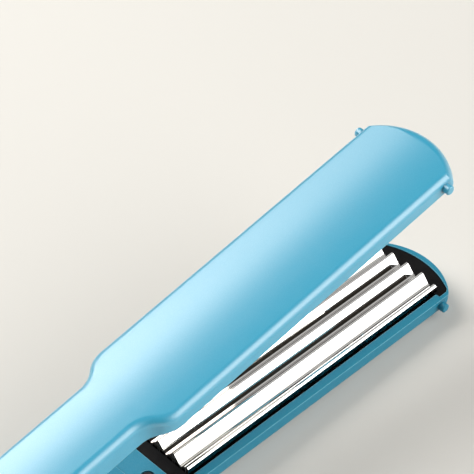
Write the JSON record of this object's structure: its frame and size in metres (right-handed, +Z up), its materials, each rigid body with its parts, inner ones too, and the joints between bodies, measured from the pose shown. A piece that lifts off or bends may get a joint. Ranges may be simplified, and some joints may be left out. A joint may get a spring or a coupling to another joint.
{
  "type": "hair crimper",
  "caption": "Handheld hair crimper: hinged arms with wide paddles, corrugated sprung heated plates in heat frames, a sprung hinge, a power rocker, a heat dial and a cord swivel.",
  "frame": {"origin": "centre of the bounding box's base, on the surface that the lower arm lies on", "axes": "+X along the arms towards the tip, +Z up from the lower arm to the upper arm, Y across the hinge"},
  "size_m": [0.3218, 0.042, 0.0699],
  "materials": {
    "blue_casing": "pearl satin lacquer",
    "black_frame": "fine matte",
    "crimp_plate": "mirror polished",
    "ceramic": "unglazed",
    "mica": "satin sheet",
    "spring_steel": "satin",
    "screw_steel": "zinc plated",
    "cushion_rubber": "matte silicone",
    "wire_insulation": "silicone",
    "fuse_metal": "satin",
    "pin_steel": "ground",
    "cap_chrome": "polished",
    "contact_brass": "satin",
    "gland_plastic": "fine matte",
    "bush_nylon": "satin",
    "board_laminate": "solder mask",
    "component_black": "satin",
    "control_black": "satin",
    "dial_plastic": "satin silver",
    "lens_plastic": "translucent"
  },
  "bodies": {
    "lower_arm": {"lower_shell": "blue_casing", "lower_inner_cover": "blue_casing", "lower_heat_frame": "black_frame", "lower_cover_screws": "screw_steel", "lower_plate_cushions": "cushion_rubber", "lower_lead_wires": "wire_insulation", "hinge_pin": "pin_steel", "hinge_caps": "cap_chrome", "tail_cover": "blue_casing", "tail_screws": "screw_steel", "contact_leaves": "contact_brass", "arm_spring": "spring_steel"},
    "lower_plate": {"lower_crimp_plate": "crimp_plate", "lower_heater": "ceramic", "lower_insulation": "mica", "lower_heater_clip": "spring_steel", "thermal_fuse": "fuse_metal"},
    "upper_arm": {"upper_shell": "blue_casing", "upper_inner_cover": "blue_casing", "upper_heat_frame": "black_frame", "upper_cover_screws": "screw_steel", "upper_plate_cushions": "cushion_rubber", "upper_lead_wires": "wire_insulation", "hinge_bushes": "bush_nylon", "circuit_board": "board_laminate", "capacitor": "component_black", "power_chip": "component_black", "resistors": "component_black", "board_connector": "component_black", "switch_body": "control_black", "potentiometer": "component_black", "indicator_lens": "lens_plastic", "indicator_lamp": "lens_plastic"},
    "upper_plate": {"upper_crimp_plate": "crimp_plate", "upper_heater": "ceramic", "upper_insulation": "mica", "upper_heater_clip": "spring_steel", "thermistor": "ceramic"},
    "rocker": {"power_rocker": "control_black"},
    "dial": {"temperature_dial": "dial_plastic"},
    "swivel": {"swivel_gland": "gland_plastic", "slip_rings": "contact_brass"}
  },
  "joints": [
    {"name": "arm_hinge", "type": "hinge", "parent": "lower_arm", "child": "upper_arm", "pos_m": [-0.1269, 0, 0.01002], "axis": [0, -1, 0], "range_deg": [-10.2, 0], "stiffness_Nm_per_rad": 1.6, "springref_deg": 19.48, "deforming": ["arm_spring"]},
    {"name": "lower_plate_float", "type": "slide", "parent": "lower_arm", "child": "lower_plate", "axis": [0, 0, -1], "range_m": [0, 0.0008], "stiffness_N_per_m": 4000, "springref_m": -0.0008, "deforming": ["lower_plate_cushions"]},
    {"name": "upper_plate_float", "type": "slide", "parent": "upper_arm", "child": "upper_plate", "axis": [-0.1771, 0, 0.9842], "range_m": [0, 0.0008], "stiffness_N_per_m": 4000, "springref_m": -0.0008, "deforming": ["upper_plate_cushions"]},
    {"name": "rocker_tilt", "type": "hinge", "parent": "upper_arm", "child": "rocker", "pos_m": [-0.10192, 0, 0.02366], "axis": [0, -1, 0], "range_deg": [0, 14]},
    {"name": "dial_turn", "type": "hinge", "parent": "upper_arm", "child": "dial", "pos_m": [-0.07928, 0, 0.02773], "axis": [0.1771, 0, -0.9842], "range_deg": [0, 270]},
    {"name": "cord_swivel", "type": "hinge", "parent": "lower_arm", "child": "swivel", "pos_m": [-0.1489, 0, 0.01002], "axis": [1, 0, 0], "continuous": true}
  ]
}
